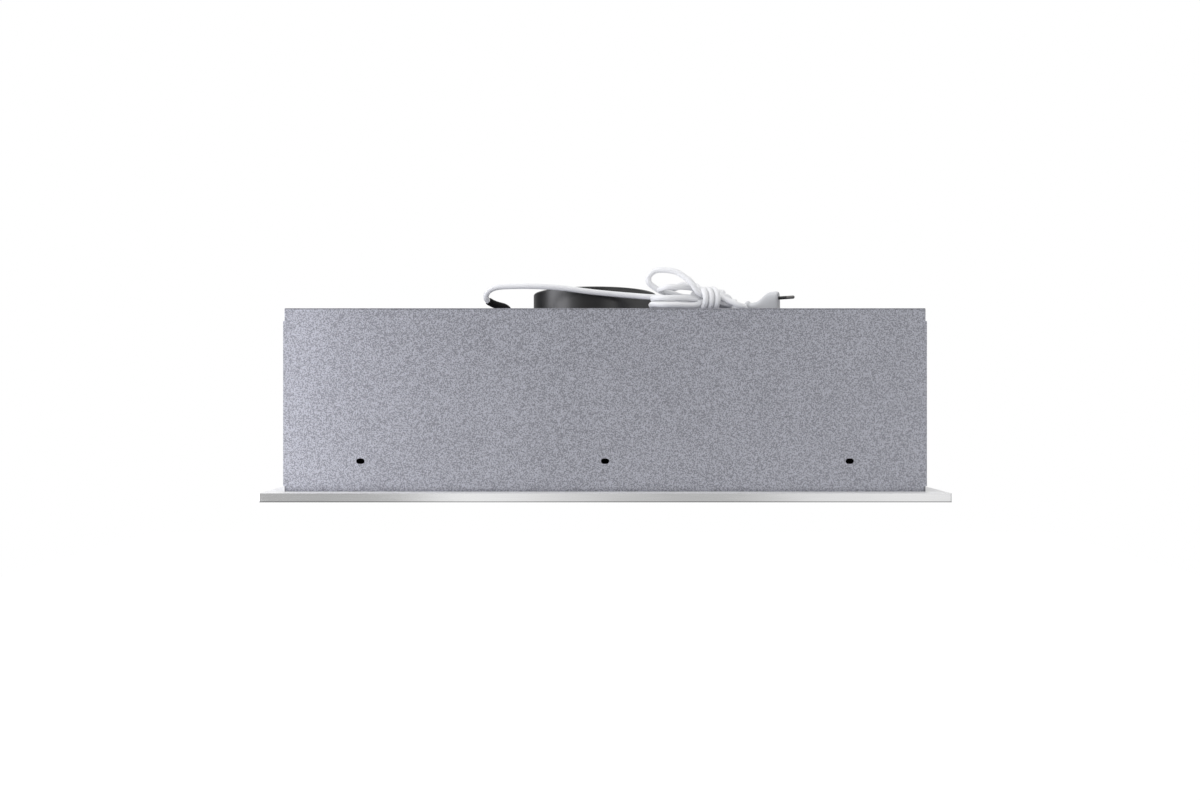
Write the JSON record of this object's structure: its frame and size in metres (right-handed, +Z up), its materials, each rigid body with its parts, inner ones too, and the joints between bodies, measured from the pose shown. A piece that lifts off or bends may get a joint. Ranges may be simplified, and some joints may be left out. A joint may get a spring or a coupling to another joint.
{
  "type": "range hood",
  "caption": "Built-in range hood: a galvanised casing on a stainless flange with grease filters, lamps and push buttons below, a blower inside and a black duct collar with flaps on its roof.",
  "frame": {"origin": "centre of the flange's underside", "axes": "+X to the right as seen from the front, +Y to the back, +Z up"},
  "size_m": [0.7, 0.3, 0.2459],
  "materials": {
    "galvanised_steel": "galvanised, satin with a fine grain",
    "rivet_aluminium": "satin",
    "stainless_steel": "brushed",
    "zinc_steel": "bright zinc",
    "filter_aluminium": "satin",
    "mesh_aluminium": "perforated and layered",
    "dark_plastic": "fine matt grain",
    "spring_steel": "bright",
    "rim_chrome": "polished",
    "frosted_glass": "frosted",
    "lamp_white_plastic": "matt",
    "lamp_board_white": "solder mask",
    "housing_plastic": "matt",
    "board_green": "solder mask",
    "button_grey_plastic": "satin",
    "black_plastic": "satin",
    "bush_rubber": "matt",
    "motor_painted": "satin paint",
    "bearing_steel": "ground",
    "core_steel": "laminated",
    "copper_winding": "enamelled",
    "wheel_plastic": "satin",
    "terminal_white_plastic": "satin",
    "capacitor_grey_plastic": "satin",
    "wire_grey_plastic": "satin",
    "sleeve_rubber": "satin",
    "cord_white": "smooth satin",
    "plug_white_plastic": "satin",
    "pin_nickel": "nickel plated",
    "sleeve_black_plastic": "satin"
  },
  "bodies": {
    "casing": {"blower_screws": "zinc_steel", "body_rivets": "rivet_aluminium", "body_shell": "galvanised_steel", "button_springs": "spring_steel", "casing_screws": "zinc_steel", "control_bezel": "dark_plastic", "control_board": "board_green", "control_housing": "housing_plastic", "cord_gland": "black_plastic", "cord_sleeve": "sleeve_rubber", "duct_collar": "black_plastic", "inner_wires": "wire_grey_plastic", "lamp_boards": "lamp_board_white", "lamp_left_cup": "lamp_white_plastic", "lamp_left_lens": "frosted_glass", "lamp_left_rim": "rim_chrome", "lamp_right_cup": "lamp_white_plastic", "lamp_right_lens": "frosted_glass", "lamp_right_rim": "rim_chrome", "mains_cord_hank": "cord_white", "mains_cord_lead": "cord_white", "mains_cord_tail": "cord_white", "motor_bearings": "bearing_steel", "motor_bracket": "zinc_steel", "motor_bushes": "bush_rubber", "motor_cap": "motor_painted", "motor_case": "motor_painted", "plug_body": "plug_white_plastic", "plug_pin_sleeves": "sleeve_black_plastic", "plug_pins": "pin_nickel", "run_capacitor": "capacitor_grey_plastic", "scroll_left": "galvanised_steel", "scroll_right": "galvanised_steel", "side_panel_left": "galvanised_steel", "side_panel_right": "galvanised_steel", "stator_core": "core_steel", "stator_windings": "copper_winding", "terminal_block": "terminal_white_plastic", "terminal_box": "housing_plastic", "terminal_box_lid": "housing_plastic", "trim_frame": "stainless_steel"},
    "filter_left": {"filter_left_frame": "filter_aluminium", "filter_left_mesh": "mesh_aluminium", "filter_left_latch_springs": "spring_steel"},
    "filter_right": {"filter_right_frame": "filter_aluminium", "filter_right_mesh": "mesh_aluminium", "filter_right_latch_springs": "spring_steel"},
    "latch_left": {"filter_left_latch": "dark_plastic"},
    "latch_right": {"filter_right_latch": "dark_plastic"},
    "flap_left": {"flap_left": "black_plastic"},
    "flap_right": {"flap_right": "black_plastic"},
    "fan": {"fan_wheel": "wheel_plastic", "rotor_core": "core_steel", "motor_shaft": "bearing_steel"},
    "off_button": {"button_off": "button_grey_plastic"},
    "speed_1_button": {"button_speed_1": "button_grey_plastic"},
    "speed_2_button": {"button_speed_2": "button_grey_plastic"},
    "speed_3_button": {"button_speed_3": "button_grey_plastic"},
    "light_button": {"button_light": "button_grey_plastic"}
  },
  "joints": [
    {"name": "fan_spin", "type": "hinge", "parent": "casing", "child": "fan", "pos_m": [-0.0113, -0.0113, 0.106], "axis": [1, 0, 0], "continuous": true},
    {"name": "flap_left_swing", "type": "hinge", "parent": "casing", "child": "flap_left", "pos_m": [-0.0163, 0.0187, 0.21], "axis": [0, 1, 0], "range_deg": [0, 80]},
    {"name": "flap_right_swing", "type": "hinge", "parent": "casing", "child": "flap_right", "pos_m": [-0.0063, 0.0187, 0.21], "axis": [0, -1, 0], "range_deg": [0, 80]},
    {"name": "filter_left_swing", "type": "hinge", "parent": "casing", "child": "filter_left", "pos_m": [-0.155, 0.1085, 0.0051], "axis": [1, 0, 0], "range_deg": [0, 75]},
    {"name": "latch_left_slide", "type": "slide", "parent": "filter_left", "child": "latch_left", "axis": [0, 1, 0], "range_m": [0, 0.005], "stiffness_N_per_m": 300, "springref_m": -0.004},
    {"name": "filter_right_swing", "type": "hinge", "parent": "casing", "child": "filter_right", "pos_m": [0.155, 0.1085, 0.0051], "axis": [1, 0, 0], "range_deg": [0, 75]},
    {"name": "latch_right_slide", "type": "slide", "parent": "filter_right", "child": "latch_right", "axis": [0, 1, 0], "range_m": [0, 0.005], "stiffness_N_per_m": 300, "springref_m": -0.004},
    {"name": "off_button_press", "type": "slide", "parent": "casing", "child": "off_button", "axis": [0, 0, 1], "range_m": [0, 0.0025], "stiffness_N_per_m": 400, "springref_m": -0.002},
    {"name": "speed_1_button_press", "type": "slide", "parent": "casing", "child": "speed_1_button", "axis": [0, 0, 1], "range_m": [0, 0.0025], "stiffness_N_per_m": 400, "springref_m": -0.002},
    {"name": "speed_2_button_press", "type": "slide", "parent": "casing", "child": "speed_2_button", "axis": [0, 0, 1], "range_m": [0, 0.0025], "stiffness_N_per_m": 400, "springref_m": -0.002},
    {"name": "speed_3_button_press", "type": "slide", "parent": "casing", "child": "speed_3_button", "axis": [0, 0, 1], "range_m": [0, 0.0025], "stiffness_N_per_m": 400, "springref_m": -0.002},
    {"name": "light_button_press", "type": "slide", "parent": "casing", "child": "light_button", "axis": [0, 0, 1], "range_m": [0, 0.0025], "stiffness_N_per_m": 400, "springref_m": -0.002}
  ]
}
